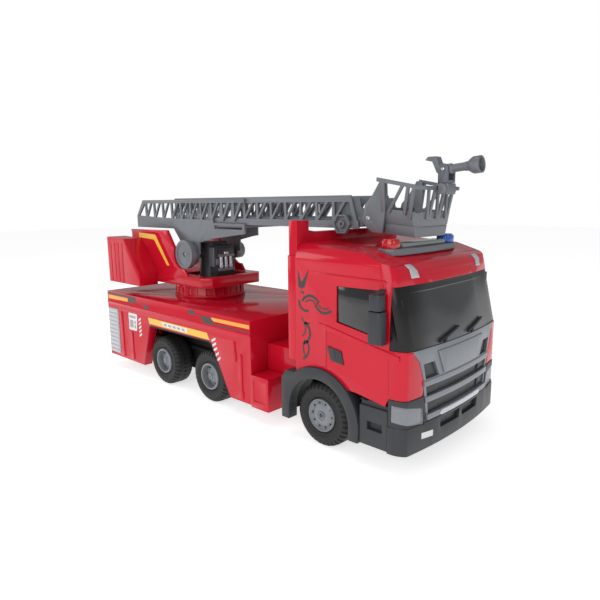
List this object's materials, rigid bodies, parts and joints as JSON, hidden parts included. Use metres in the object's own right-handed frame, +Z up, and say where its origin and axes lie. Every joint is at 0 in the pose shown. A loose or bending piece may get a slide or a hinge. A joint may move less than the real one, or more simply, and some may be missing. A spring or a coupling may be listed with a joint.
{
  "type": "toy turntable-ladder fire engine",
  "caption": "Large toy fire engine with a flat-nosed cab, spinning wheels, a slewing turntable, sliding ladder sections, a tilting basket and a pivoting water cannon.",
  "frame": {"origin": "on the floor, midway between the back of the counterweight and the muzzle of the water cannon, and midway between the two sides", "axes": "+X forwards, towards the windscreen; +Y to the vehicle's left; +Z up"},
  "size_m": [0.6599, 0.256, 0.3457],
  "materials": {
    "red": "glossy moulded red",
    "dark_trim": "satin dark grey",
    "black_plastic": "fine grain black",
    "ladder_grey": "satin mid grey",
    "inner_grey": "satin mid grey",
    "pale_grey": "satin light grey",
    "dark_screen": "glossy smoked",
    "silver_grey": "silver grey paint",
    "lamp_lens": "clear ribbed lens",
    "tail_red": "translucent red",
    "beacon_red": "translucent red",
    "beacon_blue": "translucent blue",
    "smoke_lens": "smoked clear",
    "steel": "plain turned steel",
    "tyre": "hard moulded tyre, matt",
    "rim_grey": "satin mid grey"
  },
  "bodies": {
    "vehicle": {"chassis": "black_plastic", "rear_body": "red", "rear_locker": "red", "link_box": "red", "deck_ring": "red", "shutter_right": "pale_grey", "shutter_left": "pale_grey", "rear_mudguards": "black_plastic", "rear_bumper": "black_plastic", "tail_lamps": "tail_red", "cab_shell": "red", "cab_bulkhead": "red", "windscreen": "dark_screen", "side_window_right": "dark_screen", "side_window_left": "dark_screen", "mirror_right": "dark_trim", "mirror_left": "dark_trim", "door_handles": "dark_trim", "grille": "silver_grey", "grille_mesh": "black_plastic", "front_bumper": "dark_trim", "headlight_right": "lamp_lens", "headlight_left": "lamp_lens", "fender_right": "dark_trim", "fender_left": "dark_trim", "skirt_right": "dark_trim", "skirt_left": "dark_trim", "roof_lamps": "pale_grey", "light_bar_base": "ladder_grey", "beacon_red": "beacon_red", "beacon_blue": "beacon_blue", "light_bar_lens": "smoke_lens", "wipers": "black_plastic", "chassis_screws": "steel"},
    "front_wheels": {"axle_front": "steel", "tyres_front": "tyre", "rims_front": "rim_grey"},
    "middle_wheels": {"axle_middle": "steel", "tyres_middle": "tyre", "rims_middle": "rim_grey"},
    "rear_wheels": {"axle_rear": "steel", "tyres_rear": "tyre", "rims_rear": "rim_grey"},
    "slewing_deck": {"turntable": "red", "counterweight": "red", "turntable_retainer": "dark_trim", "lift_pedestal": "dark_trim", "lift_shaft": "steel"},
    "outer_ladder": {"ladder_base": "ladder_grey"},
    "mid_ladder": {"ladder_middle": "ladder_grey", "hex_bosses": "ladder_grey"},
    "inner_ladder": {"ladder_top": "inner_grey"},
    "basket": {"basket_tub": "ladder_grey", "basket_rails": "ladder_grey", "basket_pin": "steel", "monitor_foot": "ladder_grey"},
    "cannon_fork": {"monitor_swivel": "inner_grey", "monitor_pin": "steel"},
    "cannon": {"monitor_nozzle": "ladder_grey"}
  },
  "joints": [
    {"name": "front_wheel_spin", "type": "hinge", "parent": "vehicle", "child": "front_wheels", "pos_m": [0.19, 0, 0.04], "axis": [0, 1, 0], "continuous": true},
    {"name": "middle_wheel_spin", "type": "hinge", "parent": "vehicle", "child": "middle_wheels", "pos_m": [-0.031, 0, 0.04], "axis": [0, 1, 0], "continuous": true},
    {"name": "rear_wheel_spin", "type": "hinge", "parent": "vehicle", "child": "rear_wheels", "pos_m": [-0.153, 0, 0.04], "axis": [0, 1, 0], "continuous": true},
    {"name": "turntable_slew", "type": "hinge", "parent": "vehicle", "child": "slewing_deck", "pos_m": [-0.16, 0, 0.16], "axis": [0, 0, 1], "range_deg": [-6, 6]},
    {"name": "ladder_lift", "type": "hinge", "parent": "slewing_deck", "child": "outer_ladder", "pos_m": [-0.147, 0, 0.2125], "axis": [0, -1, 0], "range_deg": [0, 35]},
    {"name": "mid_ladder_slide", "type": "slide", "parent": "outer_ladder", "child": "mid_ladder", "axis": [1, 0, 0], "range_m": [0, 0.12]},
    {"name": "inner_ladder_slide", "type": "slide", "parent": "mid_ladder", "child": "inner_ladder", "axis": [1, 0, 0], "range_m": [0, 0.15]},
    {"name": "basket_level", "type": "hinge", "parent": "inner_ladder", "child": "basket", "pos_m": [0.209, 0, 0.276], "axis": [0, -1, 0], "range_deg": [-35, 0]},
    {"name": "cannon_swivel", "type": "hinge", "parent": "basket", "child": "cannon_fork", "pos_m": [0.288, 0, 0.31], "axis": [0, 0, 1], "range_deg": [-60, 60]},
    {"name": "cannon_tilt", "type": "hinge", "parent": "cannon_fork", "child": "cannon", "pos_m": [0.288, 0, 0.331], "axis": [0, -1, 0], "range_deg": [-8, 40]}
  ],
  "couplings": [
    {"joint": "basket_level", "follows": "ladder_lift", "ratio": -1}
  ]
}
